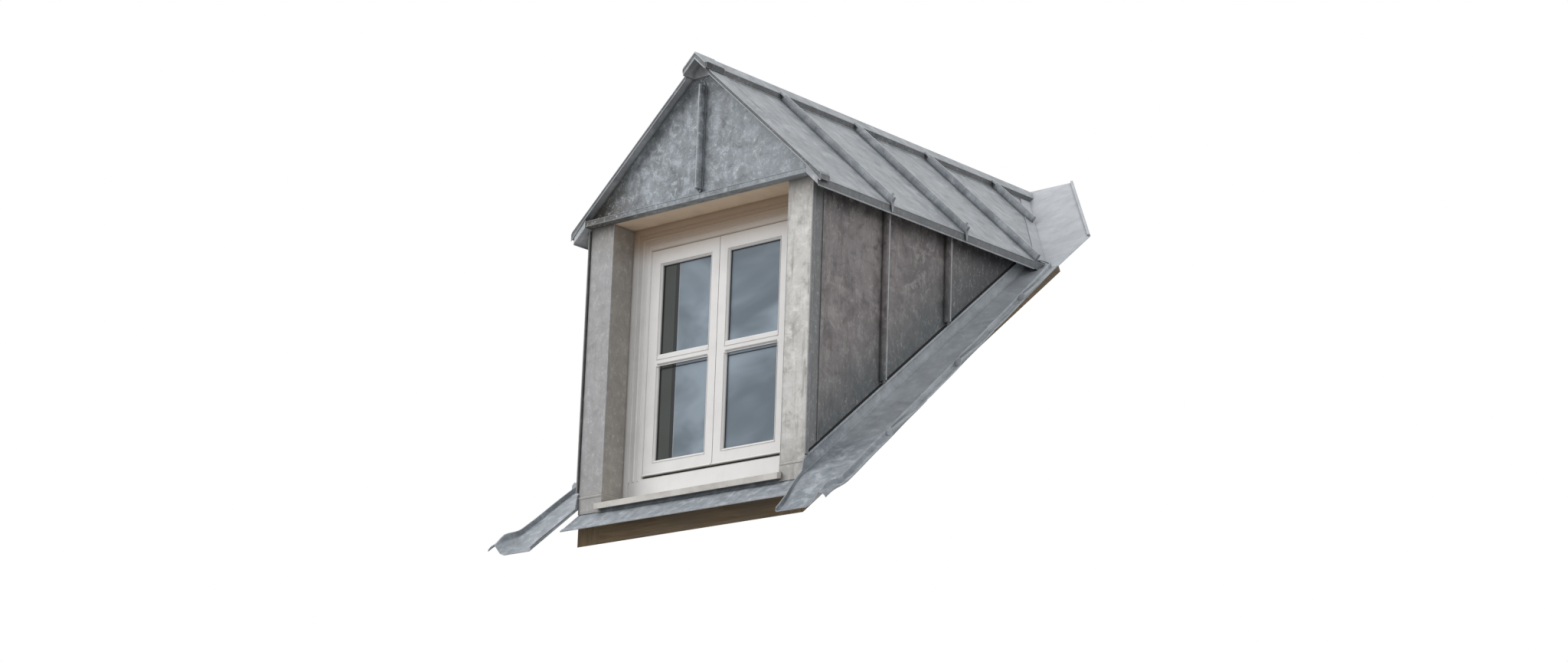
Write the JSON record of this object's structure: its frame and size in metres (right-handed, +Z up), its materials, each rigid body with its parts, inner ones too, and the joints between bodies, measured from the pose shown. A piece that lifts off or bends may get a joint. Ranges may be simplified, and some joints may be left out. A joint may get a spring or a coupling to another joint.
{
  "type": "gabled zinc-clad roof dormer window",
  "caption": "Small gabled dormer with a two-leaf window, standing-seam zinc roof and cheeks, folded posts, flashings and a timber frame cut to a pitched roof.",
  "frame": {"origin": "middle of the front curb's underside, the face that sits on the rafters of the main roof", "axes": "+Z up, the window faces -Y, +X to the right of someone who looks at the window along +Y; the main roof rises towards +Y at 40 degrees"},
  "size_m": [1.636, 2.2095, 1.8442],
  "materials": {
    "roof_zinc": "matte patina on standing-seam zinc sheet",
    "gable_zinc": "matte mottled patina on zinc sheet",
    "post_zinc": "matte warm grey patina on folded zinc",
    "cheek_zinc": "matte darker patina with run-off stains",
    "flashing_zinc": "matte pale blue-grey patina",
    "window_paint": "satin white paint on softwood",
    "soffit_paint": "aged pale paint on board",
    "window_glass": "clear",
    "sill_metal": "satin light grey coating",
    "board_timber": "sawn softwood boards",
    "frame_timber": "sawn softwood framing"
  },
  "bodies": {
    "root": {"apron_flashing": "flashing_zinc", "casement_left": "window_paint", "casement_right": "window_paint", "cheek_boards_left": "board_timber", "cheek_boards_right": "board_timber", "cheek_cladding_left": "cheek_zinc", "cheek_cladding_right": "cheek_zinc", "cheek_studs_left": "frame_timber", "cheek_studs_right": "frame_timber", "corner_post_left": "frame_timber", "corner_post_right": "frame_timber", "eaves_trim_left": "roof_zinc", "eaves_trim_right": "roof_zinc", "front_curb": "frame_timber", "gable_boards": "board_timber", "gable_cladding": "gable_zinc", "gable_drip_trim": "gable_zinc", "glass_left": "window_glass", "glass_right": "window_glass", "lintel": "frame_timber", "post_casing_left": "post_zinc", "post_casing_right": "post_zinc", "rafters_left": "frame_timber", "rafters_right": "frame_timber", "ridge_board": "frame_timber", "ridge_cap": "roof_zinc", "roof_boards_left": "board_timber", "roof_boards_right": "board_timber", "roof_cladding_left": "roof_zinc", "roof_cladding_right": "roof_zinc", "side_curb_left": "frame_timber", "side_curb_right": "frame_timber", "side_flashing_left": "flashing_zinc", "side_flashing_right": "flashing_zinc", "sill": "sill_metal", "soffit_board": "soffit_paint", "valley_bed_left": "frame_timber", "valley_bed_right": "frame_timber", "valley_flashing_left": "flashing_zinc", "valley_flashing_right": "flashing_zinc", "verge_trim_left": "roof_zinc", "verge_trim_right": "roof_zinc", "wall_plate_left": "frame_timber", "wall_plate_right": "frame_timber", "window_frame": "window_paint"}
  },
  "joints": []
}
